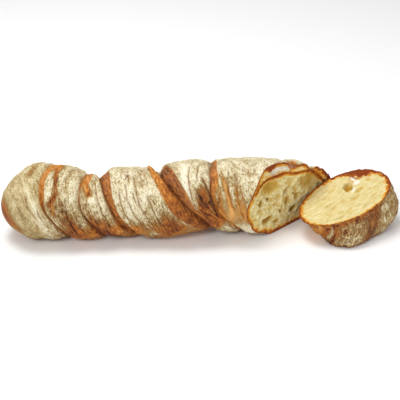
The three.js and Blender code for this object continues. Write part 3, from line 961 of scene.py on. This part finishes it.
def crumb_group():
    """Cream crumb with caramel walls in its holes, partly painted shade that darkens them deeper in, and the
    crust's own thickness as a ring round it.
    """
    group, n, given = new_group(
        "Open crumb",
        (("Grain", VECTOR), ("Place", VECTOR), ("Rind", FLOAT), ("Char", FLOAT), ("Caramel_and_shade", FLOAT),
         ("Flour_and_highlight", FLOAT), ("Calm", FLOAT)),
        (("Color", COLOUR), ("Roughness", FLOAT), ("Height", FLOAT)))
    web = n.noise(given["Grain"], 1.0, 4, 0.6)
    pore = n.noise(given["Place"], 900, 3, 0.6)
    cloud = n.noise(given["Place"], 120, 2, 0.5)
    fray = n.noise(given["Place"], 380, 2, 0.5)

    tone = n.about(n.plus(n.times(web, 0.65), n.times(pore, 0.45)), 0.55, n.less(1.0, given["Calm"], 0.45))
    colour = n.ramp(n.plus(tone, 0.5), CRUMB)
    soft = n.plus(given["Caramel_and_shade"], n.about(cloud, 0.5, 0.5))
    # Caramel walls in the holes, darker deeper in: partly their own colour, partly painted shade.
    colour = n.mix(n.step(soft, 0.0, 0.7), colour, n.ramp(n.about(soft, 0.4, 0.8), CARAMEL_AND_SHADE))
    inside = n.plus(given["Rind"], n.about(pore, 0.5, 0.8), n.about(fray, 0.5, 0.8))
    ring = n.ramp(n.less(inside, given["Char"], 0.3), RIND)
    colour = n.mix(n.step(inside, 0.7, 1.25), ring, colour)
    # Flour in the loaf's pocket, and the painted highlight on the end's crumb.
    colour = n.mix(given["Flour_and_highlight"], colour, FLOUR_AND_HIGHLIGHT)

    lift = n.plus(n.times(pore, 0.6), n.times(web, 0.7))
    shine = n.less(0.85, soft, 0.2)
    n.add("NodeGroupOutput", {"Color": colour, "Roughness": shine, "Height": lift})
    return group


def shaded_material(name, group, sources, bump):
    """A material whose Principled shader reads a group, and the group reads the piece's attributes: each
    socket has the attribute of its own name in small letters."""
    material = bpy.data.materials.new(name)
    material.use_nodes = True
    material.node_tree.nodes.clear()
    n = Nodes(material.node_tree)
    made = n.add("ShaderNodeGroup", node_tree=group)
    for socket in sources:
        found = n.attribute(socket.lower(), made.inputs[socket].type == "VECTOR")
        n.tree.links.new(found, made.inputs[socket])
    n.tree.links.new(n.add("ShaderNodeTexCoord").outputs["Object"], made.inputs["Place"])
    relief = n.add("ShaderNodeBump", {"Height": made.outputs["Height"], "Strength": 0.75, "Distance": bump})
    shader = n.add("ShaderNodeBsdfPrincipled", {
        "Base Color": made.outputs["Color"], "Roughness": made.outputs["Roughness"],
        "Normal": relief.outputs["Normal"], "Specular IOR Level": SPECULAR})
    n.add("ShaderNodeOutputMaterial", {"Surface": shader.outputs[0]})
    return material


def crust_material():
    return bpy.data.materials.get("Floured crust") or shaded_material(
        "Floured crust", floured_crust_group(), ("Strand", "Tear", "Bake", "Flour", "Crack", "Calm"),
        CRUST_BUMP)


def crumb_material():
    return bpy.data.materials.get("Open crumb") or shaded_material(
        "Open crumb", crumb_group(), ("Grain", "Rind", "Char", "Caramel_and_shade", "Flour_and_highlight", "Calm"), CRUMB_BUMP)


def finish_piece(mesh, node):
    """Puts a finished mesh in the scene as the piece that stands for a node of the frame."""
    for material in (crust_material(), crumb_material()):
        mesh.materials.append(material)
    piece = bpy.data.objects.new(mesh.name, mesh)
    bpy.context.scene.collection.objects.link(piece)
    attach(piece, "root")
    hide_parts(node)
    return piece


def joined_fields(crust, crumb):
    """The fields of both surfaces over all points. A field that only one of them has is 0 on the other."""
    whole = {}
    for name in {**crust, **crumb}:
        missing = np.zeros_like(crust.get(name, crumb.get(name))[:1])
        first = crust.get(name, np.repeat(missing, len(crust["calm"]), 0))
        second = crumb.get(name, np.repeat(missing, len(crumb["calm"]), 0))
        whole[name] = np.concatenate((first, second))
    return whole


def flat_fields(fields):
    """Each field over a grid, as one row for each point."""
    return {name: values.reshape(-1, *values.shape[2:]) for name, values in fields.items()}


def make_piece(name, node, pole, crust_rings, crust, face_rings, crumb):
    """A closed piece from its pole over the rings of its crust and then of its cut, with their fields. A
    pole has the fields of the point next to it."""
    crust = {field: np.concatenate((values[:1], values)) for field, values in flat_fields(crust).items()}
    crumb = {field: np.concatenate((values, values[-1:])) for field, values in flat_fields(crumb).items()}
    shift = loaf_shift()
    rings = np.concatenate((crust_rings, face_rings)) + shift
    mesh = tube_mesh(name, pole + shift, rings, face_rings[-1].mean(0) + shift, len(crust_rings))
    dress_mesh(mesh, joined_fields(crust, crumb))
    return finish_piece(mesh, node)


# ---- settings -----------------------------------------------------------------------------------

class LoafSettings(bpy.types.PropertyGroup):
    rows: bpy.props.IntProperty(name="Rows", description="Rings along the crust", default=370, min=60)
    columns: bpy.props.IntProperty(name="Columns", description="Points round each ring", default=204, min=48)
    cut_rings: bpy.props.IntProperty(name="Cut rings", description="Rings over the cut", default=110, min=20)
    wrinkle: bpy.props.FloatProperty(
        name="Wrinkles", description="How strongly the crust is wrinkled", default=1.0, min=0.0, max=2.0)
    bubbles: bpy.props.IntProperty(name="Bubbles", description="Small holes in the cut", default=300, min=0)


class EndSettings(bpy.types.PropertyGroup):
    rows: bpy.props.IntProperty(name="Rows", description="Rings down the crust", default=120, min=20)
    columns: bpy.props.IntProperty(name="Columns", description="Points round each ring", default=264, min=48)
    cut_rings: bpy.props.IntProperty(name="Cut rings", description="Rings over the cut", default=90, min=20)
    wrinkle: bpy.props.FloatProperty(
        name="Wrinkles", description="How strongly the crust is wrinkled", default=1.0, min=0.0, max=2.0)
    bubbles: bpy.props.IntProperty(name="Bubbles", description="Small holes in the cut", default=150, min=0)


class StageSettings(bpy.types.PropertyGroup):
    lens: bpy.props.FloatProperty(
        name="Lens", description="Focal length of the camera", default=85.0, unit="CAMERA")
    azimuth: bpy.props.FloatProperty(
        name="Azimuth", description="Where the camera stands round the loaf", default=math.radians(-3),
        subtype="ANGLE")
    elevation: bpy.props.FloatProperty(
        name="Elevation", description="Height of the camera over the horizon", default=math.radians(30),
        subtype="ANGLE")
    view_width: bpy.props.FloatProperty(
        name="View width", description="Width of the view at the loaf", default=0.4, unit="LENGTH")
    aim_height: bpy.props.FloatProperty(
        name="Aim height", description="Height that the camera looks at", default=0.033, unit="LENGTH")
    floor_colour: bpy.props.FloatVectorProperty(
        name="Floor", description="Colour of the floor", default=(0.93, 0.93, 0.93), subtype="COLOR",
        min=0, max=1)


# ---- pieces -------------------------------------------------------------------------------------

class BAGUETTE_OT_loaf(bpy.types.Operator):
    """Make the twisted loaf with its slanted cut"""

    bl_idname = "baguette.loaf"
    bl_label = "Loaf"

    def execute(self, context):
        size = context.scene.baguette_loaf
        pole = np.array((TIP_X, 0.0, STATIONS[0][1]))
        crust_rings, crust = loaf_rings(size)
        face_rings, crumb = loaf_cut(crust_rings[-1], size)
        make_piece("Loaf", "loaf", pole, crust_rings, crust, face_rings, crumb)
        return {"FINISHED"}


class BAGUETTE_OT_end(bpy.types.Operator):
    """Make the cut-off end, lying with its cut face up"""

    bl_idname = "baguette.end"
    bl_label = "Cut-off end"

    def execute(self, context):
        size = context.scene.baguette_end
        lowest = END_PROFILE[-1]
        pole = laid_down(np.array((lowest[4], 0.0, -lowest[1])))
        pole[2] = on_table(pole[2], END_SOFTNESS)
        crust_rings, crust, rim = end_rings(size)
        face_rings, crumb = end_cut(rim, size)
        make_piece("Cut_off_end", "cut_off_end", pole, crust_rings, crust, face_rings, crumb)
        return {"FINISHED"}


class BAGUETTE_OT_stage(bpy.types.Operator):
    """Make the floor, the lights and the camera"""

    bl_idname = "baguette.stage"
    bl_label = "Stage"

    def execute(self, context):
        stage = context.scene.baguette_stage
        aim = Vector(loaf_shift() * METRES)
        aim.z = stage.aim_height

        half = 6.0
        floor_mesh = bpy.data.meshes.new("Floor")
        floor_mesh.from_pydata([(-half, -half, 0), (half, -half, 0), (half, half, 0), (-half, half, 0)], [],
                               [(0, 1, 2, 3)])
        floor = bpy.data.objects.new("Floor", floor_mesh)
        paint = bpy.data.materials.new("Pale floor")
        paint.use_nodes = True
        shader = paint.node_tree.nodes["Principled BSDF"]
        shader.inputs["Base Color"].default_value = (*stage.floor_colour, 1)
        shader.inputs["Roughness"].default_value = 0.9
        floor_mesh.materials.append(paint)
        context.scene.collection.objects.link(floor)

        for name, place, width, power in (
                ("Top light", (-0.3, 0.2, 1.3), 0.6, 11.0),
                ("Front light", (-0.8, -1.1, 1.1), 0.5, 9.0),
                ("Side light", (1.3, -0.9, 0.6), 0.7, 4.5)):
            lamp = bpy.data.lights.new(name, "AREA")
            lamp.size = width
            lamp.energy = power
            light = bpy.data.objects.new(name, lamp)
            light.location = aim + Vector(place)
            light.rotation_euler = Vector(place).to_track_quat("Z", "Y").to_euler()
            context.scene.collection.objects.link(light)

        world = bpy.data.worlds.new("Studio")
        world.use_nodes = True
        world.node_tree.nodes["Background"].inputs["Color"].default_value = (1, 1, 1, 1)
        world.node_tree.nodes["Background"].inputs["Strength"].default_value = 0.5
        context.scene.world = world
        context.scene.view_settings.view_transform = "Standard"

        camera_data = bpy.data.cameras.new("Camera")
        camera_data.lens = stage.lens
        camera_data.sensor_width = 36
        camera = bpy.data.objects.new("Camera", camera_data)
        distance = stage.view_width * stage.lens / camera_data.sensor_width
        back = Vector((math.sin(stage.azimuth) * math.cos(stage.elevation),
                       -math.cos(stage.azimuth) * math.cos(stage.elevation), math.sin(stage.elevation)))
        camera.location = aim + back * distance
        camera.rotation_euler = back.to_track_quat("Z", "Y").to_euler()
        context.scene.collection.objects.link(camera)
        context.scene.camera = camera
        return {"FINISHED"}


class BAGUETTE_PT_panel(bpy.types.Panel):
    """The baguette's pieces"""

    bl_idname = "BAGUETTE_PT_panel"
    bl_label = "Baguette"
    bl_space_type = "VIEW_3D"
    bl_region_type = "UI"
    bl_category = "Baguette"

    def draw(self, context):
        for piece in (BAGUETTE_OT_loaf, BAGUETTE_OT_end, BAGUETTE_OT_stage):
            self.layout.operator(piece.bl_idname)


SETTINGS = {"baguette_loaf": LoafSettings, "baguette_end": EndSettings, "baguette_stage": StageSettings}
CLASSES = (*SETTINGS.values(), BAGUETTE_OT_loaf, BAGUETTE_OT_end, BAGUETTE_OT_stage, BAGUETTE_PT_panel)


def register():
    for cls in CLASSES:
        bpy.utils.register_class(cls)
    for name, group in SETTINGS.items():
        setattr(bpy.types.Scene, name, bpy.props.PointerProperty(type=group))


def unregister():
    for name in SETTINGS:
        delattr(bpy.types.Scene, name)
    for cls in reversed(CLASSES):
        bpy.utils.unregister_class(cls)


def main():
    register()
    bpy.ops.baguette.loaf()
    bpy.ops.baguette.end()
    bpy.ops.baguette.stage()


if __name__ == "__main__":
    main()
